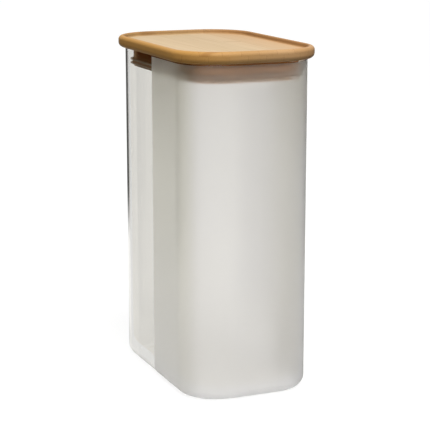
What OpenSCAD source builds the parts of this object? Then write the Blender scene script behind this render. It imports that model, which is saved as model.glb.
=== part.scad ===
// Rice bin: a tall glass jar with a rounded rectangular plan, coated white over its front half,
// closed by a bamboo lid that plugs into the mouth and seals there with a finned silicone ring.
// The origin is at the middle of the base, +Z is up, and the coated front faces -Y.
// Every wall, edge and fin follows the same four corner axes, so each piece is drawn once as a
// section, with x measured outward from a corner axis and y measured up, and then led around.

/* [Jar] */
// Width of the glass, across the coated front
body_w = 90; // [80:1:120]
// Depth of the glass, from the front to the back
body_d = 146; // [110:1:190]
// Height of the glass, from the table to the rim
glass_h = 222; // [140:1:300]
// Outer radius of the four upright corners
corner_r = 28; // [22:0.5:34]
// Thickness of the glass wall
wall = 3.2; // [2.4:0.1:4.5]
// Thickness of the glass base
base_t = 6.5; // [4.5:0.5:10]
// Radius of the outer edge of the base
base_round = 6.5; // [3:0.5:9]
// Radius where the inside wall meets the inside floor
floor_round = 8; // [4:0.5:12]
// Radius of the polished edges of the rim
rim_round = 0.8; // [0.3:0.1:1.1]
// Depth of the shallow hollow under the base
foot_hollow = 1; // [0.4:0.1:1.6]
// Width of the flat ring that the jar stands on
foot_ring = 7; // [4:0.5:10]

/* [Coat] */
// Thickness of the frosted coat
coat_t = 0.2; // [0.1:0.05:0.4]
// How far the coat's upright edge lies behind the middle of the jar, or in front of it below 0
coat_edge = -2; // [-20:1:30]
// Height at which the coat starts above the table
coat_low = 1; // [0.5:0.1:3]
// Distance of the coat's upper edge below the top of the rim
coat_bare = 1.2; // [1.2:0.1:6]

/* [Lid] */
// Thickness of the lid board
lid_t = 8; // [6.5:0.5:14]
// How far the lid board stands out past the glass
lid_over = 4.8; // [4.4:0.2:9]
// Radius of the lid board's lower edge
lid_low_round = 3.5; // [1:0.25:4]
// Radius of the lid board's upper edge
lid_top_round = 2.75; // [1:0.25:3]
// Depth of the stacking recess in the top of the lid
recess_deep = 2.75; // [1:0.25:3.25]
// Clearance around a jar that stands in the recess
stack_clear = 0.6; // [0.3:0.1:1]
// Radius in the foot of the recess
recess_round = 0.8; // [0.4:0.1:1]
// Radius of the recess's upper edge
lip_round = 1; // [0.3:0.1:1.2]

/* [Plug and seal] */
// Height of the plug below the lid board
plug_h = 13; // [10:0.5:20]
// Gap between the bare plug and the glass
plug_gap = 2.4; // [1.8:0.1:3.4]
// Radius of the plug's lower edge
plug_round = 0.8; // [0.3:0.1:1.1]
// Depth of the groove that holds the seal
groove_deep = 1.4; // [0.8:0.1:2.2]
// Height of the wood left below the groove
groove_lip = 1.2; // [0.9:0.1:3]
// Height of the seal, which fills its groove
seal_h = 4; // [3.5:0.25:6]
// How far the seal's band stands out of the groove
seal_proud = 0.6; // [0.3:0.1:0.9]
// Number of fins on the seal
fins = 2; // [2:1:3]
// Thickness of a fin at its root
fin_root = 0.9; // [0.6:0.1:1]
// Thickness of a fin at its tip
fin_tip = 0.5; // [0.3:0.05:0.6]
// How far a fin's tip is swept up from its root
fin_sweep = 0.5; // [0:0.1:0.8]
// Clearance between the fins and the glass
fin_clear = 0.2; // [0.1:0.05:0.3]

/* [Hidden] */
$fn = 96;
// Corner axes, and the sections' distances from them
axis_x = body_w / 2 - corner_r;
axis_y = body_d / 2 - corner_r;
inner_x = corner_r - wall;
plug_x = inner_x - plug_gap;
groove_x = plug_x - groove_deep;
fin_x = inner_x - fin_clear;
recess_x = corner_r + stack_clear;
foot_x = corner_r - base_round - foot_ring;
// Heights
lid_top = glass_h + lid_t;
recess_low = lid_top - recess_deep;
plug_low = glass_h - plug_h;
seal_low = plug_low + groove_lip;
fin_pitch = (seal_h - fin_root - fin_sweep) / (fins - 1);
// Overrun of a cut past the face that it opens
past = 1;

// Leads a section around the four straight runs and the four corners
module around() {
    for (side = [0:3]) {
        out = side % 2 == 0 ? axis_x : axis_y;
        run = side % 2 == 0 ? axis_y : axis_x;
        rotate([0, 0, 90 * side]) translate([out, run, 0]) {
            rotate([90, 0, 0]) linear_extrude(2 * run) children();
            rotate_extrude(angle = 90) children();
        }
    }
}

// Fills the plan between the corner axes
module middle(low, high) {
    translate([-axis_x, -axis_y, low]) cube([2 * axis_x, 2 * axis_y, high - low]);
}

// Section of a slab out to x = reach, with its two outer corners rounded
module slab(reach, low, high, low_round = 0, top_round = 0) {
    translate([0, low + low_round]) square([reach, high - low - low_round - top_round]);
    if (low_round > 0) {
        translate([0, low]) square([reach - low_round, 2 * low_round]);
        translate([reach - low_round, low + low_round]) circle(low_round);
    }
    if (top_round > 0) {
        translate([0, high - 2 * top_round]) square([reach - top_round, 2 * top_round]);
        translate([reach - top_round, high - top_round]) circle(top_round);
    }
}

// Section of a hollow that opens upward at y = mouth, with a rounded foot and a rounded lip
module hollow(reach, low, mouth, foot, lip) {
    slab(reach, low, mouth + past, foot);
    translate([reach - past, mouth - lip]) difference() {
        square([past + lip, lip + past]);
        translate([past + lip, 0]) circle(lip);
    }
}

module glass_section() {
    difference() {
        slab(corner_r, 0, glass_h, base_round, rim_round);
        hollow(inner_x, base_t, glass_h, floor_round, rim_round);
        slab(foot_x, -past, foot_hollow, 0, foot_hollow / 2);
    }
}

module glass_jar() {
    color([0.80, 0.84, 0.82, 0.45]) {
        around() glass_section();
        middle(foot_hollow, base_t);
    }
}

// Section of the skin that lies on the glass, from its lower to its upper edge
module coat_section() {
    intersection() {
        difference() {
            slab(corner_r + coat_t, -coat_t, glass_h, base_round + coat_t);
            slab(corner_r, 0, glass_h + past, base_round);
        }
        translate([0, coat_low]) square([corner_r + coat_t, glass_h - coat_bare - coat_low]);
    }
}

module frosted_coat() {
    color([0.87, 0.86, 0.83]) intersection() {
        around() coat_section();
        translate([-body_w, -body_d, 0]) cube([2 * body_w, body_d + coat_edge, glass_h]);
    }
}

module lid_section() {
    difference() {
        slab(corner_r + lid_over, glass_h, lid_top, lid_low_round, lid_top_round);
        hollow(recess_x, recess_low, lid_top, recess_round, lip_round);
    }
}

module lid_board() {
    color([0.80, 0.62, 0.40]) {
        around() lid_section();
        middle(glass_h, recess_low);
    }
}

module plug_section() {
    difference() {
        slab(plug_x, plug_low, glass_h, plug_round);
        translate([groove_x, seal_low]) square([groove_deep + past, seal_h]);
    }
}

module lid_plug() {
    color([0.66, 0.45, 0.25]) {
        around() plug_section();
        middle(plug_low, glass_h);
    }
}

// One fin from the band's face out to its tip, with the root's lower edge at y = 0
module fin_section() {
    polygon([
        [plug_x, 0],
        [plug_x + seal_proud, 0],
        [fin_x, fin_sweep + (fin_root - fin_tip) / 2],
        [fin_x, fin_sweep + (fin_root + fin_tip) / 2],
        [plug_x + seal_proud, fin_root],
        [plug_x, fin_root]
    ]);
}

module seal_section() {
    translate([groove_x, seal_low]) square([groove_deep + seal_proud, seal_h]);
    for (n = [0:fins - 1]) translate([0, seal_low + n * fin_pitch]) fin_section();
}

module seal_ring() {
    color([0.88, 0.85, 0.82, 0.8]) around() seal_section();
}

glass_jar();
frosted_coat();
lid_board();
lid_plug();
seal_ring();
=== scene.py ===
"""Rice bin: a part-frosted glass jar closed by a bamboo lid with a silicone seal, in its studio.

Every piece of the jar and the lid is one section led around the same four corner axes.
In a section, x runs outward from a corner axis and z runs up. All lengths are in metres.
"""

import math

import bmesh
import bpy
from bpy.props import FloatProperty, FloatVectorProperty, IntProperty, PointerProperty
from mathutils import Matrix, Vector, noise


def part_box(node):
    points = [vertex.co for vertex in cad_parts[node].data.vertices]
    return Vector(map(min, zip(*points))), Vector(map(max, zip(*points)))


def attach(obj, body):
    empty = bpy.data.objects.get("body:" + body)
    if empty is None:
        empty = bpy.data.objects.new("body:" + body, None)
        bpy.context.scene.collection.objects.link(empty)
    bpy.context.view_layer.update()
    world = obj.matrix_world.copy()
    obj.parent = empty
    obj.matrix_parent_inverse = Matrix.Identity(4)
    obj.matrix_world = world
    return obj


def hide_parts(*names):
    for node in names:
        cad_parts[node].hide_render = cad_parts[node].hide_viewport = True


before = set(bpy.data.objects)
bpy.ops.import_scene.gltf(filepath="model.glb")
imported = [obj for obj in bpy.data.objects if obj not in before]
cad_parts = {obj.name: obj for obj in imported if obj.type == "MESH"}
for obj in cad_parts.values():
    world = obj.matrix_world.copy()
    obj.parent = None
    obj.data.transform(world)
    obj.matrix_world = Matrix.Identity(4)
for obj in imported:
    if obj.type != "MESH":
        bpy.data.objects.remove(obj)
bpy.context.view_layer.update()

bl_info = {
    "name": "Rice bin with plug lid",
    "version": (1, 0, 0),
    "blender": (4, 5, 0),
    "location": "3D View > Sidebar > Rice Bin",
    "description": "Builds a part-frosted glass rice bin, its bamboo lid and a small studio",
    "category": "Object",
}

MM = 0.001
WHITE, BLACK = (1.0, 1.0, 1.0), (0.0, 0.0, 0.0)
# Points closer to each other than this are one point
SAME_POINT = 1e-7
# Faces that meet at a larger angle than this have a sharp edge between them
SHARP_ANGLE = math.radians(35)

# What the construction gives
JAR_LOW, JAR_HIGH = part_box("glass_jar")
COAT_LOW, COAT_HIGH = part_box("frosted_coat")
BOARD_LOW, BOARD_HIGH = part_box("lid_board")
PLUG_LOW, PLUG_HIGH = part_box("lid_plug")
SEAL_LOW, SEAL_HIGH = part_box("seal_ring")


# Sizes and colours that a user can change

def length(name, description, default, high=1.0):
    return FloatProperty(
        name=name, description=description, default=default, min=0.0, max=high,
        unit="LENGTH", precision=5,
    )


def share(name, description, default):
    return FloatProperty(
        name=name, description=description, default=default, min=0.0, max=1.0, subtype="FACTOR"
    )


def strength(name, description, default, unit="NONE"):
    return FloatProperty(name=name, description=description, default=default, min=0.0, unit=unit)


def angle(name, description, degrees):
    return FloatProperty(
        name=name, description=description, default=math.radians(degrees), subtype="ANGLE"
    )


def spot(name, description, default):
    return FloatVectorProperty(
        name=name, description=description, default=default, size=3,
        subtype="TRANSLATION", unit="LENGTH",
    )


def colour(name, description, default):
    return FloatVectorProperty(
        name=name, description=description, default=default, size=3, min=0.0, max=1.0,
        subtype="COLOR",
    )


class RICEBIN_PG_glass(bpy.types.PropertyGroup):
    corner: length("Corner radius", "Outer radius of the upright corners", 28 * MM)
    wall: length("Wall", "Thickness of the glass wall", 3.2 * MM)
    base: length("Base", "Thickness of the glass base", 6.5 * MM)
    base_round: length("Base edge", "Radius of the outer edge of the base", 6.5 * MM)
    floor_round: length("Floor edge", "Radius where the inside wall meets the floor", 8 * MM)
    rim_round: length("Rim edge", "Radius of the polished edges of the rim", 0.8 * MM)
    hollow: length("Hollow", "Depth of the shallow hollow under the base", 1 * MM)
    foot_ring: length("Foot ring", "Width of the ring that the jar stands on", 7 * MM)
    ripple: length("Ripple", "Height of the slight ripple of the pressed inside wall", 0.07 * MM)
    ripple_span: length("Ripple span", "Width of one ripple", 34 * MM)
    tint: colour("Tint", "Colour of the glass", (0.99, 0.985, 0.97))
    # Painted dark outline: the corners seen edge on stand in for the dark surroundings that the
    # thick glass bends into view
    dark_edge_tint: colour("Edge tint", "Colour of the corners seen edge on", (0.10, 0.097, 0.09))
    glint: share("Glint", "How much the glass bends and mirrors what lies around it", 0.02)
    ahead: share("Mirroring", "What the wall mirrors where it is seen straight on", 0.08)
    aslant: strength("Mirroring aslant", "What it mirrors besides, seen edge on", 1.8)


class RICEBIN_PG_coat(bpy.types.PropertyGroup):
    lift: length("Lift", "Gap that keeps the coat off the glass surface", 0.01 * MM)
    tone: colour("Tone", "Colour of the frosted coat", (0.795, 0.793, 0.802))
    cloud: colour("Clouding", "Colour that the coat leans to in faint clouds", (0.72, 0.70, 0.66))
    # Painted warm light from the bamboo lid on the coat's sides
    side: colour("Side tone", "What the sides keep of the colour", (0.985, 0.98, 0.92))
    # Painted shade on the front corners
    corner_shade: colour("Thicker coat", "What it keeps on the front corners", (0.8, 0.8, 0.79))
    # Painted shade in a band down the middle of the front
    overlap: colour("Overlap", "What it keeps where two strokes overlap", (0.925, 0.925, 0.93))
    # Near the top, the aslant colour is also painted shade from the lid
    aslant: colour("Aslant", "Colour that it takes on where it is seen aslant", (0.60, 0.56, 0.45))
    dense: share("Density", "How much light is stopped where it is seen aslant", 0.16)
    clear: share("Clearness", "Share of the light that passes through the coat", 0.985)
    haze: share("Haze", "How widely the coat scatters what passes through it", 0.58)
    grain: length("Grain", "Width of the fine sprayed grain", 0.45 * MM)


class RICEBIN_PG_lid(bpy.types.PropertyGroup):
    low_round: length("Lower edge", "Radius of the board's lower edge", 3.5 * MM)
    top_round: length("Upper edge", "Radius of the board's upper edge", 2.75 * MM)
    recess: length("Recess depth", "Depth of the stacking recess", 2.75 * MM)
    clearance: length("Recess clearance", "How far the recess clears a jar, each side", 0.6 * MM)
    recess_round: length("Recess foot", "Radius in the foot of the recess", 0.8 * MM)
    lip_round: length("Recess lip", "Radius of the recess's upper edge", 1 * MM)
    plug_round: length("Plug edge", "Radius of the plug's lower edge", 0.8 * MM)
    strip: length("Strip width", "Width of a bamboo strip", 12.4 * MM)
    ply: length("Ply thickness", "Thickness of one layer of strips", 4.0 * MM)
    joint: length("Joint line", "Width of the glue line between strips", 0.22 * MM)
    pale: colour("Pale bamboo", "Colour of the palest strips", (0.605, 0.450, 0.272))
    deep: colour("Deep bamboo", "Colour of the darkest strips", (0.52, 0.372, 0.205))
    # The tone that strips toward the right lean to
    right_tone: colour("Heartwood", "Colour that strips on the right lean to", (0.58, 0.365, 0.185))
    # The oiled edge is partly painted shade
    edge: colour("Oiled edge", "What the edge's oil leaves of the colour", (0.89, 0.73, 0.58))
    # Painted shade on the rim's left side
    left_edge_shade: colour("Left edge", "What the left side's edge keeps of that", (1.0, 0.86, 0.47))
    # Painted shade in the foot of the recess
    recess_shade: colour("Settled oil", "What oil in the recess's foot leaves of it", (0.77, 0.67, 0.53))
    line: colour("Joint colour", "Colour of the joints and the node marks", (0.30, 0.16, 0.055))
    sheen: share("Sheen", "Strength of the oil's sheen", 0.25)
    # The plug's strips are darker than the board's: partly their own colour, partly painted shade
    # under the board
    plug_pale: colour("Pale plug", "Colour of the plug's palest strips", (0.48, 0.26, 0.105))
    plug_deep: colour("Deep plug", "Colour of the plug's darkest strips", (0.34, 0.17, 0.06))
    # Painted light on the plug's ends
    plug_end_light: colour("Sanded ends", "Colour of the plug's sanded ends", (0.88, 0.52, 0.275))
    # Painted shade under the board, in front and behind
    plug_front_shade: colour("Plug in front", "What its sides keep under the board", (0.33, 0.22, 0.10))
    plug_rear_shade: colour("Plug behind", "What its upper sides keep behind", (0.74, 0.40, 0.12))
    plug_sheen: share("Plug sheen", "Strength of the bare plug's sheen", 0.1)


class RICEBIN_PG_seal(bpy.types.PropertyGroup):
    groove: length("Groove", "Depth of the groove in the plug", 1.4 * MM)
    proud: length("Band", "How far the band stands out of the groove", 0.6 * MM)
    fins: IntProperty(
        name="Fins", description="Number of fins on the band", default=2, min=1, max=4
    )
    root: length("Fin root", "Thickness of a fin at its root", 0.9 * MM)
    tip: length("Fin tip", "Thickness of a fin at its tip", 0.5 * MM)
    sweep: length("Fin sweep", "How far a fin's tip is swept up", 0.5 * MM)
    tone: colour("Tone", "Colour of the fins", (1.0, 0.86, 0.66))
    milky: share("Clearness", "Share of the light that passes the thin fins", 0.3)
    through: colour("Through", "What the fins leave of that light", (0.97, 0.96, 0.95))
    band_tone: colour("Band tone", "Colour of the band, with the wood in it", (0.55, 0.34, 0.20))


class RICEBIN_PG_stage(bpy.types.PropertyGroup):
    heading: angle("Heading", "Turn of the camera to the left of the jar's front", 23.08)
    pitch: angle("Pitch", "How far the camera looks down", 12.46)
    distance: length("Distance", "Level distance from the jar's axis", 982.3 * MM, high=5.0)
    aside: length("Aside", "How far the camera stands to the right of that", 1.2 * MM)
    height: length("Height", "Height of the camera above the floor", 326.1 * MM, high=5.0)
    lens: FloatProperty(
        name="Lens", description="Focal length", subtype="DISTANCE_CAMERA", default=121.8
    )
    floor: length("Floor", "Half the width of the floor", 6.0, high=50.0)
    floor_seen: colour("Floor", "Colour of the floor as it is seen", (0.86, 0.86, 0.855))
    floor_lit: colour("Floor's light", "Colour with which it lights the jar", (0.28, 0.28, 0.275))
    glow: strength("Glow", "Strength of the floor's own light, as it is seen", 1.13)
    backdrop: share("Backdrop", "Level of the room that is mirrored or shines through", 0.7)
    key: strength("Key light", "Power of the large soft light", 18.0, unit="POWER")
    key_size: length("Key size", "Width of the large soft light", 0.9, high=5.0)
    key_spot: spot("Key place", "Where the large soft light stands", (-0.05, -0.6, 1.3))
    fill: strength("Fill light", "Strength of the light from above", 0.76)
    flags: share("Flags", "What the dark flags take from what is mirrored", 1.0)
    flags_through: share("Flags behind", "What they take from what shines through", 0.22)


# Sections and plans

class Section:
    """A line drawn in a section, by straight lines and arcs."""

    def __init__(self, x, z):
        self.points = [(x, z)]

    def to(self, x, z, steps=1):
        x0, z0 = self.points[-1]
        for i in range(1, steps + 1):
            self.points.append((x0 + (x - x0) * i / steps, z0 + (z - z0) * i / steps))
        return self

    def turn(self, x, z, radius, start, end, steps):
        """An arc about (x, z) between two angles in degrees, from the outward direction."""
        for i in range(steps + 1):
            turned = math.radians(start + (end - start) * i / steps)
            point = (x + radius * math.cos(turned), z + radius * math.sin(turned))
            if math.dist(point, self.points[-1]) > SAME_POINT:
                self.points.append(point)
        return self


class Plan:
    """The four corner axes, with stations around them.

    A station is a point and its outward direction.
    """

    ARC_STEPS = 14
    RUN_STEP = 6 * MM

    def __init__(self, corner):
        self.x = (JAR_HIGH.x - JAR_LOW.x) / 2 - corner
        self.y = (JAR_HIGH.y - JAR_LOW.y) / 2 - corner
        self.steps_x = max(1, round(2 * self.x / self.RUN_STEP))
        self.steps_y = max(1, round(2 * self.y / self.RUN_STEP))

    def side(self, number):
        """Stations of one straight run and the corner that ends it, turned in place."""
        out, run, steps = self.x, self.y, self.steps_y
        if number % 2:
            out, run, steps = self.y, self.x, self.steps_x
        here = [
            (Vector((out, -run + 2 * run * i / steps, 0)), Vector((1, 0, 0))) for i in range(steps)
        ]
        for i in range(self.ARC_STEPS):
            turned = math.radians(90 * i / self.ARC_STEPS)
            outward = Vector((math.cos(turned), math.sin(turned), 0))
            here.append((Vector((out, run, 0)), outward))
        turn = Matrix.Rotation(math.radians(90 * number), 3, "Z")
        return [(turn @ point, turn @ outward) for point, outward in here]

    def around(self):
        return [station for number in range(4) for station in self.side(number)]

    def front(self, edge):
        """Stations from the left side round the front to the right side, back to y = edge."""
        loop = [station for number in (2, 3, 0) for station in self.side(number)]
        left = (Vector((-self.x, edge, 0)), Vector((-1, 0, 0)))
        right = (Vector((self.x, edge, 0)), Vector((1, 0, 0)))
        kept = [station for station in loop if station[0].y < edge - self.RUN_STEP / 3]
        return [left] + kept + [right]


def new_piece(name, bm, body, slot, *nodes):
    """Makes the mesh an object that rides on a body and stands for CAD nodes."""
    bmesh.ops.remove_doubles(bm, verts=bm.verts, dist=SAME_POINT)
    bmesh.ops.recalc_face_normals(bm, faces=bm.faces)
    mesh = bpy.data.meshes.new(name)
    bm.to_mesh(mesh)
    bm.free()
    mesh.polygons.foreach_set("use_smooth", [True] * len(mesh.polygons))
    mesh.set_sharp_from_angle(angle=SHARP_ANGLE)
    piece = bpy.data.objects.new(name, mesh)
    bpy.context.scene.collection.objects.link(piece)
    evened = piece.modifiers.new("even_shading", "WEIGHTED_NORMAL")
    evened.keep_sharp = True
    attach(piece, body)
    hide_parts(*nodes)
    return piece


def lead(bm, section, stations, closed_path=True, closed_section=False):
    """Leads a section past stations and skins it."""
    rings = [
        [bm.verts.new(point + outward * x + Vector((0, 0, z))) for x, z in section.points]
        for point, outward in stations
    ]
    spans = len(rings) if closed_path else len(rings) - 1
    steps = len(section.points) if closed_section else len(section.points) - 1
    for i in range(spans):
        here, there = rings[i], rings[(i + 1) % len(rings)]
        for j in range(steps):
            k = (j + 1) % len(section.points)
            bm.faces.new((here[j], there[j], there[k], here[k]))
    if closed_section and not closed_path:
        bm.faces.new(rings[0])
        bm.faces.new(rings[-1])


def fill_middle(bm, plan, z):
    """Fills the plan between the corner axes with a grid that meets the led section."""
    across = [-plan.x + 2 * plan.x * i / plan.steps_x for i in range(plan.steps_x + 1)]
    along = [-plan.y + 2 * plan.y * j / plan.steps_y for j in range(plan.steps_y + 1)]
    columns = [[bm.verts.new((x, y, z)) for y in along] for x in across]
    for here, there in zip(columns, columns[1:]):
        for j in range(plan.steps_y):
            bm.faces.new((here[j], there[j], there[j + 1], here[j + 1]))


def led_block(section, plan):
    """A solid whose section starts and ends on the corner axes."""
    bm = bmesh.new()
    lead(bm, section, plan.around())
    fill_middle(bm, plan, section.points[0][1])
    fill_middle(bm, plan, section.points[-1][1])
    return bm


# Shaders

# Waves per metre of the smears on the glass, the clouds in the coat and the silicone's bloom
SMEAR_WAVES = (22.0, 22.0, 9.0)
CLOUD_WAVES = 26.0
BLOOM_WAVES = 160.0


class Socket:
    """A shader socket that can stand in sums, products and comparisons."""

    def __init__(self, paint, socket):
        self.paint = paint
        self.socket = socket

    def maths(self, operation, *others, first=None):
        values = [self, *others] if first is None else [first, self]
        inputs = dict(enumerate(values))
        return self.paint.node("ShaderNodeMath", {"operation": operation}, inputs)[0]

    def __add__(self, other):
        return self.maths("ADD", other)

    def __sub__(self, other):
        return self.maths("SUBTRACT", other)

    def __mul__(self, other):
        return self.maths("MULTIPLY", other)

    def __truediv__(self, other):
        return self.maths("DIVIDE", other)

    def __lt__(self, other):
        return self.maths("LESS_THAN", other)

    def __gt__(self, other):
        return self.maths("GREATER_THAN", other)

    def __pow__(self, other):
        return self.maths("POWER", other)

    def __abs__(self):
        return self.maths("ABSOLUTE")

    def __rsub__(self, other):
        return self.maths("SUBTRACT", first=other)

    __radd__ = __add__
    __rmul__ = __mul__

    def floor(self):
        return self.maths("FLOOR")

    def fraction(self):
        return self.maths("FRACT")

    def most(self, other):
        return self.maths("MAXIMUM", other)

    def least(self, other):
        return self.maths("MINIMUM", other)

    def between(self, low, high, start=0.0, end=1.0):
        """The value start below low, end above high, and smooth from one to the other."""
        settings = {"interpolation_type": "SMOOTHSTEP"}
        inputs = {"Value": self, "From Min": low, "From Max": high, "To Min": start, "To Max": end}
        return self.paint.node("ShaderNodeMapRange", settings, inputs)[0]


class Made:
    """A shader node whose outputs are Sockets, by name or by place."""

    def __init__(self, paint, node):
        self.paint = paint
        self.node = node

    def __getitem__(self, key):
        return Socket(self.paint, self.node.outputs[key])


class Paint:
    """Fills the node tree of a material or of the world."""

    # Points nearer to a straight run than this aren't in a corner
    CORNER_START = 0.2 * MM

    def __init__(self, owner):
        owner.use_nodes = True
        self.tree = owner.node_tree
        self.tree.nodes.clear()

    def node(self, kind, settings=None, inputs=None):
        """Any node: its type, its settings, and the values or links of its sockets."""
        made = self.tree.nodes.new(kind)
        for name, value in (settings or {}).items():
            setattr(made, name, value)
        for key, value in (inputs or {}).items():
            if isinstance(value, Socket):
                self.tree.links.new(value.socket, made.inputs[key])
            elif hasattr(value, "__len__") and len(value) < len(made.inputs[key].default_value):
                made.inputs[key].default_value = (*value, 1.0)
            else:
                made.inputs[key].default_value = value
        return Made(self, made)

    def place(self):
        """The point's place in the frame that all the pieces share."""
        return self.node("ShaderNodeTexCoord")["Object"]

    def outward(self, place, plan):
        """The distance outside the corner axes, which is x in the sections."""
        x, y = self.split(place)[:2]
        out_x = (abs(x) - plan.x).most(0)
        out_y = (abs(y) - plan.y).most(0)
        return (out_x * out_x + out_y * out_y) ** 0.5

    def in_corner(self, place, plan):
        """1 on the arcs of the four upright corners, 0 on the straight runs."""
        x, y = self.split(place)[:2]
        return (abs(x) - plan.x).least(abs(y) - plan.y) > self.CORNER_START

    def facing(self):
        """0 where the surface is seen straight on, 1 where it is seen edge on."""
        return self.node("ShaderNodeLayerWeight", None, {"Blend": 0.5})["Facing"]

    def split(self, vector):
        parts = self.node("ShaderNodeSeparateXYZ", None, {0: vector})
        return parts[0], parts[1], parts[2]

    def join(self, x, y, z):
        return self.node("ShaderNodeCombineXYZ", None, {0: x, 1: y, 2: z})[0]

    def stretch(self, vector, scale):
        inputs = {0: vector, 1: scale}
        return self.node("ShaderNodeVectorMath", {"operation": "MULTIPLY"}, inputs)[0]

    def mix(self, factor, a, b, blend="MIX"):
        settings = {"data_type": "RGBA", "blend_type": blend, "clamp_factor": True}
        return self.node("ShaderNodeMix", settings, {0: factor, 6: a, 7: b})[2]

    def clouds(self, vector, scale=1.0, detail=2.0, roughness=0.5):
        inputs = {"Vector": vector, "Scale": scale, "Detail": detail, "Roughness": roughness}
        return self.node("ShaderNodeTexNoise", None, inputs)["Fac"]

    def chance(self, vector):
        return self.node("ShaderNodeTexWhiteNoise", None, {"Vector": vector})["Value"]

    def bump(self, height, distance, strength):
        inputs = {"Height": height, "Distance": distance, "Strength": strength}
        return self.node("ShaderNodeBump", None, inputs)[0]

    def blend(self, factor, shader, other):
        """One shader where the factor is 0, and the other where it is 1."""
        return self.node("ShaderNodeMixShader", None, {0: factor, 1: shader[0], 2: other[0]})

    def output(self, shader, kind="ShaderNodeOutputMaterial"):
        self.node(kind, None, {"Surface": shader[0]})


def need(met, words):
    """Stops an operator whose sizes can't be built."""
    if not met:
        raise ValueError(words)


def give(piece, name):
    """Makes a material for a piece and returns its Paint."""
    material = bpy.data.materials.new(name)
    piece.data.materials.append(material)
    return Paint(material)


class Bamboo:
    """Laminated bamboo: strips along y in plies, with joints, node marks and long fibres.

    Waves are counted per metre along x, y and z.
    """

    # How far the faces between the plies lie below whole steps of a ply
    PLY_DROP = 1 * MM
    # Shares of a strip's width: how far the next ply is set off, and how far joints wander
    PLY_SHIFT, WANDER = 0.37, 0.05
    WANDER_WAVES = (0.0, 9.0, 0.0)
    FIBRE_WAVES = (900.0, 14.0, 900.0)
    VEIN_WAVES = (260.0, 5.0, 260.0)
    # Picks the strips' tones
    TONE_SEED = 3.7
    # The node marks are spread over this length along y, so few strips show theirs
    MARK_SPREAD = 0.5
    # Shares of that length: the first strip's mark, and the steps to the next strip and ply
    MARK_FIRST, MARK_PER_STRIP, MARK_PER_PLY = 0.766, 0.29, 0.41
    MARK_ASKEW = 1.6 * MM
    # How far from its middle a mark starts to fade, and ends
    MARK_CORE, MARK_EDGE = 0.5 * MM, 2.2 * MM
    # The part of its colour that a strip has by itself, while its veins give the rest
    STRIP_SHARE = 0.55
    # How much fibres and node marks take on the colour of the joints
    FIBRE_DEPTH, MARK_DEPTH = 0.32, 0.42
    RELIEF = 0.06 * MM

    def __init__(self, piece, name, sizes):
        self.sizes = sizes
        self.paint = paint = give(piece, name)
        self.place = paint.place()
        self.x, self.y, self.z = paint.split(self.place)
        ply = ((self.z + self.PLY_DROP) / sizes.ply).floor()
        wander = paint.clouds(paint.stretch(self.place, self.WANDER_WAVES)) * self.WANDER
        across = self.x / sizes.strip + ply * self.PLY_SHIFT + wander
        strip = across.floor()
        off_middle = across.fraction() - 0.5
        self.tone = paint.chance(paint.join(strip, ply, self.TONE_SEED))
        self.seam = abs(off_middle) > 0.5 - sizes.joint / sizes.strip / 2
        # Each strip has its own node mark, which crosses it a little askew
        mark_at = strip * self.MARK_PER_STRIP + ply * self.MARK_PER_PLY + self.MARK_FIRST
        mark_at = (mark_at.fraction() - 0.5) * self.MARK_SPREAD
        off_mark = abs(self.y - mark_at + off_middle * self.MARK_ASKEW)
        self.mark = off_mark.between(self.MARK_CORE, self.MARK_EDGE, 1.0, 0.0)
        fibres = paint.stretch(self.place, self.FIBRE_WAVES)
        self.fibre = paint.clouds(fibres, detail=3.0, roughness=0.6)
        self.vein = paint.clouds(paint.stretch(self.place, self.VEIN_WAVES))

    def wood(self, pale, deep):
        """The strips' own colours, varied by their veins."""
        paleness = self.tone * self.STRIP_SHARE + self.vein * (1 - self.STRIP_SHARE)
        return self.paint.mix(paleness, deep, pale)

    def lined(self, wood, joints):
        """The wood with its fibres, its node marks and joints of a given strength."""
        line = self.sizes.line
        fibres = self.fibre.between(0.52, 0.78, 0.0, self.FIBRE_DEPTH)
        wood = self.paint.mix(fibres, wood, line)
        wood = self.paint.mix(self.mark * self.MARK_DEPTH, wood, line)
        return self.paint.mix(self.seam * joints, wood, line)

    def finish(self, wood, sheen):
        """Makes the surface, whose fibres stand up and whose joints and node marks lie deeper."""
        height = self.fibre * 0.6 - self.seam * 0.8 - self.mark * 0.5
        self.paint.output(self.paint.node("ShaderNodeBsdfPrincipled", None, {
            "Base Color": wood,
            "Roughness": 0.42 + self.fibre * 0.14,
            "IOR": 1.43,
            "Specular IOR Level": sheen,
            "Normal": self.paint.bump(height, self.RELIEF, strength=0.6),
        }))


def paint_board(piece, sizes, plan, recess):
    """The board: from the wall of its recess outward it takes more oil and is deeper, partly as
    painted shade; painted shade also lies on the rim's left side and in the recess's foot.
    """
    bamboo = Bamboo(piece, "bamboo_board", sizes)
    paint, x = bamboo.paint, bamboo.x
    reach = paint.outward(bamboo.place, plan)
    oiled_and_shaded = reach.between(recess - 0.3 * MM, recess + 0.9 * MM)
    # Strips toward the right lean to a deeper tone, less so on the rim
    deeper_right = x.between(5 * MM, 45 * MM) * (0.9 - oiled_and_shaded * 0.55)
    wood = paint.mix(deeper_right, bamboo.wood(sizes.pale, sizes.deep), sizes.right_tone)
    wood = bamboo.lined(wood, joints=oiled_and_shaded * 0.25 + 0.2)
    # The rim is darker and deeper: partly oil soaked into its end grain, partly painted shade, as
    # it lies in less light than the top and lacks its sheen
    wood = paint.mix(oiled_and_shaded, wood, sizes.edge, "MULTIPLY")
    # Painted shade: the rim's left side is deeper in colour still, as it faces away from the light
    # and mirrors no bright surroundings
    left_shade = x.between(-55 * MM, 30 * MM, 1.0, 0.0)
    wood = paint.mix(oiled_and_shaded * left_shade, wood, sizes.left_edge_shade, "MULTIPLY")
    # Painted shade along the foot of the recess and up its wall
    recess_shade = reach.between(recess - 3.4 * MM, recess - 0.4 * MM)
    recess_shade *= reach.between(recess + 0.5 * MM, recess + 1.6 * MM, 1.0, 0.0)
    wood = paint.mix(recess_shade, wood, sizes.recess_shade, "MULTIPLY")
    bamboo.finish(wood, sizes.sheen)


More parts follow.
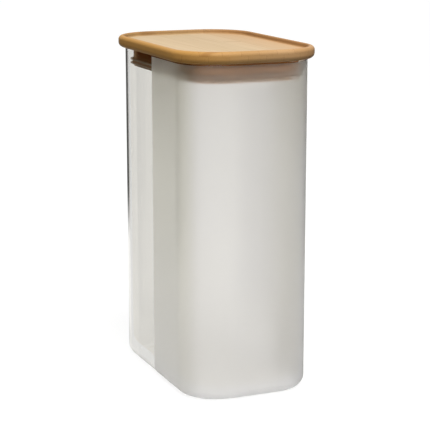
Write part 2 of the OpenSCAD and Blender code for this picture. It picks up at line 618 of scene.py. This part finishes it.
def paint_plug(piece, sizes, plan):
    """The bare plug: its ends are painted paler, standing in for light that reaches them, and its
    sides take painted shade under the board.
    """
    bamboo = Bamboo(piece, "bamboo_plug", sizes)
    paint, y, z = bamboo.paint, bamboo.y, bamboo.z
    end, top = plan.y, PLUG_HIGH.z
    # Painted light: the plug's ends are paler where light reaches them through the glass, the rear
    # end from behind
    near = y.between(-end - 14 * MM, -end - 4 * MM, 1.0, 0.0)
    far = y.between(end - 7 * MM, end + 1 * MM)
    wood = bamboo.wood(sizes.plug_pale, sizes.plug_deep)
    wood = paint.mix(near.most(far) * 0.85, wood, sizes.plug_end_light)
    # Painted shade on the plug's upper sides under the board, in front and behind
    rear = y.between(-35 * MM, 5 * MM)
    shade_under_front = z.between(top - 6 * MM, top - 0.5 * MM) * (1 - rear)
    wood = paint.mix(shade_under_front, wood, sizes.plug_front_shade, "MULTIPLY")
    shade_under_rear = z.between(top - 8.5 * MM, top - 4.5 * MM) * rear * (1 - far * 0.9)
    wood = paint.mix(shade_under_rear, wood, sizes.plug_rear_shade, "MULTIPLY")
    bamboo.finish(bamboo.lined(wood, joints=0.2), sizes.plug_sheen)


def paint_glass(piece, look, plan):
    """Clear glass: the more it is seen from the side, the more it mirrors.

    The outline of the inner surface stays faint, because refraction hides it.
    """
    paint = give(piece, "clear_glass")
    place = paint.place()
    x, y, z = paint.split(place)
    outer = paint.outward(place, plan) > look.corner - look.wall / 2
    corner = paint.in_corner(place, plan)
    high = z.between(80 * MM, 130 * MM)
    facing = paint.facing()
    # What both surfaces of the wall turn back between them, alike from outside and from inside
    turned_back = (facing ** 5 * look.aslant + look.ahead) * z.between(-3 * MM, 8 * MM)
    # Painted light: it is less toward the foot, above all on the corners, so the foot looks
    # lighter, as it does in the light near the table
    turned_back *= (1 - corner * (1 - high) * 0.7) * z.between(-20 * MM, 90 * MM, 0.65, 1.0)
    # Painted light: the wall by the rear left corner mirrors less and looks lighter, standing in
    # for the light that the thick corner glass bends through
    turned_back *= 1 - y.between(27 * MM, 31 * MM) * (x < 0) * (high * 0.1 + 0.18)
    # Painted dark outline on the upper outer corners seen edge on: it stands in for the dark
    # surroundings that the thick corner glass bends into view, and fades out toward the foot, which
    # the table lights
    painted_dark_edge = facing.between(0.62, 0.80) * corner * outer * high
    smear = paint.clouds(paint.stretch(place, SMEAR_WAVES), detail=4.0, roughness=0.6)
    bent = paint.node("ShaderNodeBsdfPrincipled", None, {
        "Base Color": look.tint,
        "Roughness": smear.between(0.55, 0.8, 0.02, 0.06),
        "IOR": 1.5,
        "Transmission Weight": 1.0,
    })
    clear = paint.node("ShaderNodeBsdfTransparent", None, {"Color": look.tint})
    dark = paint.node("ShaderNodeBsdfTransparent", None, {"Color": look.dark_edge_tint})
    gloss = paint.node("ShaderNodeBsdfGlossy", None, {"Color": WHITE, "Roughness": 0.03})
    passed = paint.blend(painted_dark_edge, clear, dark)
    passed = paint.blend(look.glint, passed, bent)
    paint.output(paint.blend(turned_back * outer * (1 - painted_dark_edge * 0.8), passed, gloss))


def paint_coat(piece, look):
    """Sprayed coat: it scatters what shines through it, varies a little in faint clouds, and
    carries painted shade and painted warm light in places.
    """
    paint = give(piece, "frosted_coat")
    place = paint.place()
    x, y, z = paint.split(place)
    drift = paint.clouds(place, CLOUD_WAVES, detail=3.0)
    grain = paint.clouds(place, 1.0 / look.grain, roughness=0.7)
    shade = paint.mix(drift.between(0.3, 0.7, 0.0, 0.05), look.tone, look.cloud)
    # Painted warm light on the sides, more toward the top, standing in for the light that the
    # bamboo lid throws back onto the coat
    painted_warm_light = abs(x).between(37 * MM, 45.5 * MM) * z.between(-20 * MM, 160 * MM, 0.4, 1.0)
    shade = paint.mix(painted_warm_light, shade, look.side, "MULTIPLY")
    # Painted shade on the two front corners, which turn away from the light
    corner_shade = abs(x + 1 * MM).between(34 * MM, 43 * MM) * y.between(-50 * MM, -40 * MM, 1.0, 0.0)
    corner_shade *= z.between(20 * MM, 150 * MM, 0.35, 0.6)
    shade = paint.mix(corner_shade, shade, look.corner_shade, "MULTIPLY")
    # Painted shade in a band down the middle of the front
    overlap = x.between(-21 * MM, -2 * MM) * x.between(4 * MM, 20 * MM, 1.0, 0.0)
    overlap *= y.between(-72 * MM, -60 * MM, 1.0, 0.0)
    overlap *= z.between(30 * MM, 90 * MM) * z.between(203 * MM, 213 * MM, 1.0, 0.0)
    shade = paint.mix(overlap, shade, look.overlap, "MULTIPLY")
    sprayed = paint.bump(grain, distance=0.04 * MM, strength=0.5)
    passing = paint.node("ShaderNodeBsdfPrincipled", None, {
        "Base Color": shade,
        "Roughness": look.haze + (grain - 0.5) * 0.12,
        "IOR": 1.18,
        "Transmission Weight": look.clear,
        "Normal": sprayed,
    })
    # Seen aslant, the light has a longer way through the coat, and more of it is stopped. This is
    # kept to the top of the coat, where it is also painted shade from the lid above, in a warm
    # colour
    stopping = paint.node("ShaderNodeBsdfPrincipled", None, {
        "Base Color": look.aslant,
        "Roughness": 0.6,
        "Specular IOR Level": 0.2,
        "Normal": sprayed,
    })
    stopped = paint.facing().between(0.05, 0.6) * z.between(140 * MM, 220 * MM, 0.0, look.dense)
    paint.output(paint.blend(stopped, passing, stopping))


def paint_silicone(piece, look, plan, band):
    """Milky silicone: the thick band shows the wood behind it, and light passes the thin fins."""
    paint = give(piece, "silicone")
    place = paint.place()
    bloom = paint.clouds(place, BLOOM_WAVES, detail=3.0)
    thin = paint.outward(place, plan).between(band, band + 0.9 * MM)
    milky = paint.node("ShaderNodeBsdfPrincipled", None, {
        "Base Color": paint.mix(thin * 0.9 + bloom * 0.1, look.band_tone, look.tone),
        "Roughness": 0.42 + bloom * 0.2,
        "IOR": 1.41,
        "Specular IOR Level": 0.25,
        "Normal": paint.bump(bloom, distance=0.05 * MM, strength=0.4),
    })
    clear = paint.node("ShaderNodeBsdfTransparent", None, {"Color": look.through})
    paint.output(paint.blend(thin * look.milky, milky, clear))


# Pieces

class RICEBIN_OT_glass(bpy.types.Operator):
    """Build the pressed glass jar"""
    bl_idname = "ricebin.glass"
    bl_label = "Glass jar"

    # Height over which the ripple dies out toward the floor and the rim
    CALM = 6 * MM

    def execute(self, context):
        s = context.scene.ricebin_glass
        top = JAR_HIGH.z
        inner = s.corner - s.wall
        foot = s.corner - s.base_round - s.foot_ring
        r = s.rim_round
        need(2 * r < s.wall, "The wall is too thin for the edges of the rim")
        need(s.wall < s.corner - s.floor_round, "The wall doesn't fit the corners")
        need(0 < foot and s.hollow < s.base, "The foot ring or the hollow doesn't fit the base")
        section = (
            Section(0, s.base)
            .to(inner - s.floor_round, s.base, steps=3)
            .turn(inner - s.floor_round, s.base + s.floor_round, s.floor_round, -90, 0, steps=10)
            .to(inner, top - r, steps=40)
            .turn(inner + r, top - r, r, 180, 90, steps=4)
            .to(s.corner - r, top)
            .turn(s.corner - r, top - r, r, 90, 0, steps=4)
            .to(s.corner, s.base_round, steps=40)
            .turn(s.corner - s.base_round, s.base_round, s.base_round, 0, -90, steps=10)
            .to(foot, 0, steps=2)
            .to(foot, s.hollow / 2)
            .turn(foot - s.hollow / 2, s.hollow / 2, s.hollow / 2, 0, 90, steps=3)
            .to(0, s.hollow, steps=3)
        )
        plan = Plan(s.corner)
        bm = led_block(section, plan)
        self.ripple(bm, s, plan, top)
        piece = new_piece("jar_glass", bm, "jar", "clear_glass", "glass_jar")
        paint_glass(piece, s, plan)
        return {"FINISHED"}

    def ripple(self, bm, s, plan, top):
        """Gives the inside wall the faint ripple of pressed glass."""
        bm.normal_update()
        reach = s.corner - s.wall
        for v in bm.verts:
            near_x = max(-plan.x, min(plan.x, v.co.x))
            near_y = max(-plan.y, min(plan.y, v.co.y))
            outward = v.co - Vector((near_x, near_y, v.co.z))
            if outward.length < SAME_POINT or outward.length > reach + s.wall / 4:
                continue
            calm = min(1.0, (top - v.co.z) / self.CALM, max(0.0, v.co.z - s.base) / self.CALM)
            if calm > 0:
                v.co += outward.normalized() * noise.noise(v.co / s.ripple_span) * s.ripple * calm


class RICEBIN_OT_coat(bpy.types.Operator):
    """Build the frosted coat on the front half of the glass"""
    bl_idname = "ricebin.coat"
    bl_label = "Frosted coat"

    def execute(self, context):
        glass = context.scene.ricebin_glass
        s = context.scene.ricebin_coat
        thick = COAT_HIGH.x - JAR_HIGH.x
        centre = glass.corner - glass.base_round
        inner = glass.base_round + s.lift
        outer = glass.base_round + thick
        low = COAT_LOW.z - glass.base_round
        need(0 < s.lift < thick, "The coat has no thickness")
        need(abs(low) < inner, "The coat starts under the base")
        in_start = math.degrees(math.asin(low / inner))
        out_start = math.degrees(math.asin(low / outer))
        section = (
            Section(centre + outer * math.cos(math.radians(out_start)), COAT_LOW.z)
            .turn(centre, glass.base_round, outer, out_start, 0, steps=8)
            .to(centre + outer, COAT_HIGH.z, steps=24)
            .to(centre + inner, COAT_HIGH.z)
            .to(centre + inner, glass.base_round, steps=24)
            .turn(centre, glass.base_round, inner, 0, in_start, steps=8)
        )
        bm = bmesh.new()
        stations = Plan(glass.corner).front(COAT_HIGH.y)
        lead(bm, section, stations, closed_path=False, closed_section=True)
        piece = new_piece("frosted_skin", bm, "jar", "frosted_coat", "frosted_coat")
        paint_coat(piece, s)
        return {"FINISHED"}


class RICEBIN_OT_board(bpy.types.Operator):
    """Build the bamboo board that lies on the rim"""
    bl_idname = "ricebin.board"
    bl_label = "Lid board"

    def execute(self, context):
        corner = context.scene.ricebin_glass.corner
        s = context.scene.ricebin_lid
        low, top = BOARD_LOW.z, BOARD_HIGH.z
        floor = top - s.recess
        reach = corner + BOARD_HIGH.x - JAR_HIGH.x
        recess = corner + s.clearance
        foot, lip = s.recess_round, s.lip_round
        need(recess + lip < reach - s.top_round, "The rim of the board is too narrow for its edges")
        need(s.low_round + s.top_round < top - low, "The board is too thin for its edges")
        need(s.recess < top - low, "The board is too thin for its recess")
        section = (
            Section(0, floor)
            .to(recess - foot, floor, steps=4)
            .turn(recess - foot, floor + foot, foot, -90, 0, steps=5)
            .to(recess, top - lip)
            .turn(recess + lip, top - lip, lip, 180, 90, steps=6)
            .to(reach - s.top_round, top)
            .turn(reach - s.top_round, top - s.top_round, s.top_round, 90, 0, steps=9)
            .to(reach, low + s.low_round)
            .turn(reach - s.low_round, low + s.low_round, s.low_round, 0, -90, steps=10)
            .to(0, low, steps=4)
        )
        plan = Plan(corner)
        bm = led_block(section, plan)
        piece = new_piece("bamboo_board", bm, "lid", "bamboo_board", "lid_board")
        paint_board(piece, s, plan, recess)
        return {"FINISHED"}


class RICEBIN_OT_plug(bpy.types.Operator):
    """Build the bamboo plug under the board"""
    bl_idname = "ricebin.plug"
    bl_label = "Plug"

    def execute(self, context):
        corner = context.scene.ricebin_glass.corner
        s = context.scene.ricebin_lid
        low, top = PLUG_LOW.z, PLUG_HIGH.z
        reach = corner + PLUG_HIGH.x - JAR_HIGH.x
        groove = reach - context.scene.ricebin_seal.groove
        need(0 < groove < reach, "The groove doesn't fit the plug")
        need(low + s.plug_round < SEAL_LOW.z, "The plug's lower edge reaches into the groove")
        section = (
            Section(0, top)
            .to(reach, top, steps=3)
            .to(reach, SEAL_HIGH.z)
            .to(groove, SEAL_HIGH.z)
            .to(groove, SEAL_LOW.z)
            .to(reach, SEAL_LOW.z)
            .to(reach, low + s.plug_round)
            .turn(reach - s.plug_round, low + s.plug_round, s.plug_round, 0, -90, steps=5)
            .to(0, low, steps=3)
        )
        plan = Plan(corner)
        bm = led_block(section, plan)
        piece = new_piece("bamboo_plug", bm, "lid", "bamboo_plug", "lid_plug")
        paint_plug(piece, s, plan)
        return {"FINISHED"}


class RICEBIN_OT_seal(bpy.types.Operator):
    """Build the finned silicone ring in the plug's groove"""
    bl_idname = "ricebin.seal"
    bl_label = "Seal"

    def execute(self, context):
        corner = context.scene.ricebin_glass.corner
        s = context.scene.ricebin_seal
        plug = corner + PLUG_HIGH.x - JAR_HIGH.x
        band = plug + s.proud
        reach = corner + SEAL_HIGH.x - JAR_HIGH.x
        low, top = SEAL_LOW.z, SEAL_HIGH.z
        pitch = (top - low - s.root - s.sweep) / max(1, s.fins - 1)
        need(band < reach - s.tip and pitch > s.root, "The fins don't fit the band")
        section = Section(plug - s.groove, low)
        for n in range(s.fins):
            root = low + n * pitch
            middle = root + s.sweep + s.root / 2
            section.to(band, root)
            section.to(reach - s.tip / 2, middle - s.tip / 2, steps=3)
            section.turn(reach - s.tip / 2, middle, s.tip / 2, -90, 90, steps=6)
            section.to(band, root + s.root, steps=3)
        section.to(band, top).to(plug - s.groove, top)
        bm = bmesh.new()
        plan = Plan(corner)
        lead(bm, section, plan.around(), closed_section=True)
        piece = new_piece("silicone_seal", bm, "lid", "silicone", "seal_ring")
        paint_silicone(piece, s, plan, band)
        return {"FINISHED"}


class RICEBIN_OT_stage(bpy.types.Operator):
    """Build the floor, the lights and the camera"""
    bl_idname = "ricebin.stage"
    bl_label = "Stage"

    # Distances from the jar's axis between which the floor's shadow fades out
    SHADOW_NEAR, SHADOW_FAR = 0.12, 0.3

    def execute(self, context):
        s = context.scene.ricebin_stage
        forward = Vector((math.sin(s.heading), math.cos(s.heading), 0))
        right = Vector((math.cos(s.heading), -math.sin(s.heading), 0))
        self.camera(context, s, forward, right)
        self.floor(context, s, right)
        self.world(context, s, right)
        self.lamp(context, s)
        context.scene.view_settings.view_transform = "Standard"
        return {"FINISHED"}

    def camera(self, context, s, forward, right):
        data = bpy.data.cameras.new("camera")
        data.lens = s.lens
        data.sensor_width = 36.0
        data.clip_start = 0.01
        camera = bpy.data.objects.new("camera", data)
        camera.location = -forward * s.distance + right * s.aside + Vector((0, 0, s.height))
        camera.rotation_euler = (math.radians(90) - s.pitch, 0, -s.heading)
        context.scene.collection.objects.link(camera)
        context.scene.camera = camera

    def floor(self, context, s, right):
        bm = bmesh.new()
        bmesh.ops.create_grid(bm, x_segments=1, y_segments=1, size=s.floor)
        mesh = bpy.data.meshes.new("floor")
        bm.to_mesh(mesh)
        bm.free()
        floor = bpy.data.objects.new("floor", mesh)
        context.scene.collection.objects.link(floor)
        paint = give(floor, "pale_floor")
        path = paint.node("ShaderNodeLightPath")
        seen = path["Is Camera Ray"].most(path["Is Glossy Ray"]).most(path["Is Transmission Ray"])
        x, y = paint.split(paint.place())[:2]
        beyond = ((x * x + y * y) ** 0.5).between(self.SHADOW_NEAR, self.SHADOW_FAR)
        flagged = self.flagged(path, s, right, x, y, beyond * 0.7 + 0.3)
        pale = paint.mix(seen, s.floor_lit, s.floor_seen)
        matt = paint.node("ShaderNodeBsdfDiffuse", None, {"Color": pale})
        glowing = paint.node("ShaderNodeEmission", None, {"Color": WHITE, "Strength": s.glow})
        dark = paint.node("ShaderNodeEmission", None, {"Color": BLACK})
        # Near the jar the floor glows less, so that its shadow shows there
        dimmed = path["Is Transmission Ray"] * 0.1 + path["Is Camera Ray"] * (1 - beyond) * 0.1
        pale_floor = paint.blend(seen * (0.82 - dimmed), matt, glowing)
        paint.output(paint.blend(flagged, pale_floor, dark))

    def world(self, context, s, right):
        world = bpy.data.worlds.new("studio")
        context.scene.world = world
        paint = Paint(world)
        path = paint.node("ShaderNodeLightPath")
        seen = path["Is Glossy Ray"].most(path["Is Transmission Ray"])
        x, y, z = paint.split(paint.node("ShaderNodeTexCoord")["Generated"])
        # The light comes from above, less from the right and a little less from the left
        aside = x * right.x + y * right.y
        soft = z.between(-0.1, 0.9, 0.15, 1.0) * s.fill
        soft *= (1 - aside.most(0) * 0.75) * (1 + aside.least(0) * 0.2)
        backdrop = s.backdrop * (1 - self.flagged(path, s, right, x, y))
        level = path["Is Camera Ray"].most(seen * backdrop).most((1 - seen) * soft)
        dark = paint.node("ShaderNodeBackground", None, {"Color": BLACK, "Strength": 0.0})
        bright = paint.node("ShaderNodeBackground", None, {"Color": WHITE, "Strength": 1.0})
        paint.output(paint.blend(level, dark, bright), "ShaderNodeOutputWorld")

    def flagged(self, path, s, right, x, y, behind=1.0):
        """What the dark flags beside the jar take from what is mirrored or shines through.

        The share behind is how much of what shines through they can take at all.
        """
        # The small number keeps the way straight up from a division by 0
        aside = (x * right.x + y * right.y) / (x * x + y * y + 1e-6) ** 0.5
        mirrored = path["Is Glossy Ray"] * (path["Transmission Depth"] < 0.5)
        taken = abs(aside).between(0.25, 0.65) * mirrored * s.flags
        # Behind the jar the right flag reaches further in than the left one, and is fainter
        sides = aside.between(-0.65, -0.25, 1.0, 0.0) + aside.between(0.1, 0.5, 0.0, 0.3)
        return taken + sides * path["Is Transmission Ray"] * behind * s.flags_through

    def lamp(self, context, s):
        data = bpy.data.lights.new("key_light", "AREA")
        data.shape = "SQUARE"
        data.size = s.key_size
        data.energy = s.key
        lamp = bpy.data.objects.new("key_light", data)
        lamp.location = s.key_spot
        aim = Vector((0, 0, BOARD_HIGH.z / 2)) - Vector(s.key_spot)
        lamp.rotation_euler = aim.to_track_quat("-Z", "Y").to_euler()
        context.scene.collection.objects.link(lamp)


class RICEBIN_PT_panel(bpy.types.Panel):
    """Lists the operators, and the sizes and colours that they use"""
    bl_label = "Rice Bin"
    bl_idname = "RICEBIN_PT_panel"
    bl_space_type = "VIEW_3D"
    bl_region_type = "UI"
    bl_category = "Rice Bin"

    def draw(self, context):
        for operator in OPERATORS:
            self.layout.operator(operator.bl_idname)
        for group in GROUPS:
            box = self.layout.box()
            box.label(text=group.title())
            values = getattr(context.scene, "ricebin_" + group)
            for name in values.bl_rna.properties.keys():
                if name not in ("rna_type", "name"):
                    box.prop(values, name)


GROUPS = {
    "glass": RICEBIN_PG_glass,
    "coat": RICEBIN_PG_coat,
    "lid": RICEBIN_PG_lid,
    "seal": RICEBIN_PG_seal,
    "stage": RICEBIN_PG_stage,
}
OPERATORS = (
    RICEBIN_OT_stage,
    RICEBIN_OT_glass,
    RICEBIN_OT_coat,
    RICEBIN_OT_board,
    RICEBIN_OT_plug,
    RICEBIN_OT_seal,
)


def register():
    for made in (*GROUPS.values(), *OPERATORS, RICEBIN_PT_panel):
        bpy.utils.register_class(made)
    for name, group in GROUPS.items():
        setattr(bpy.types.Scene, "ricebin_" + name, PointerProperty(type=group))


def unregister():
    for name in GROUPS:
        delattr(bpy.types.Scene, "ricebin_" + name)
    for made in (RICEBIN_PT_panel, *reversed(OPERATORS), *reversed(GROUPS.values())):
        bpy.utils.unregister_class(made)


def main():
    register()
    for operator in OPERATORS:
        family, name = operator.bl_idname.split(".")
        getattr(getattr(bpy.ops, family), name)()


if __name__ == "__main__":
    main()
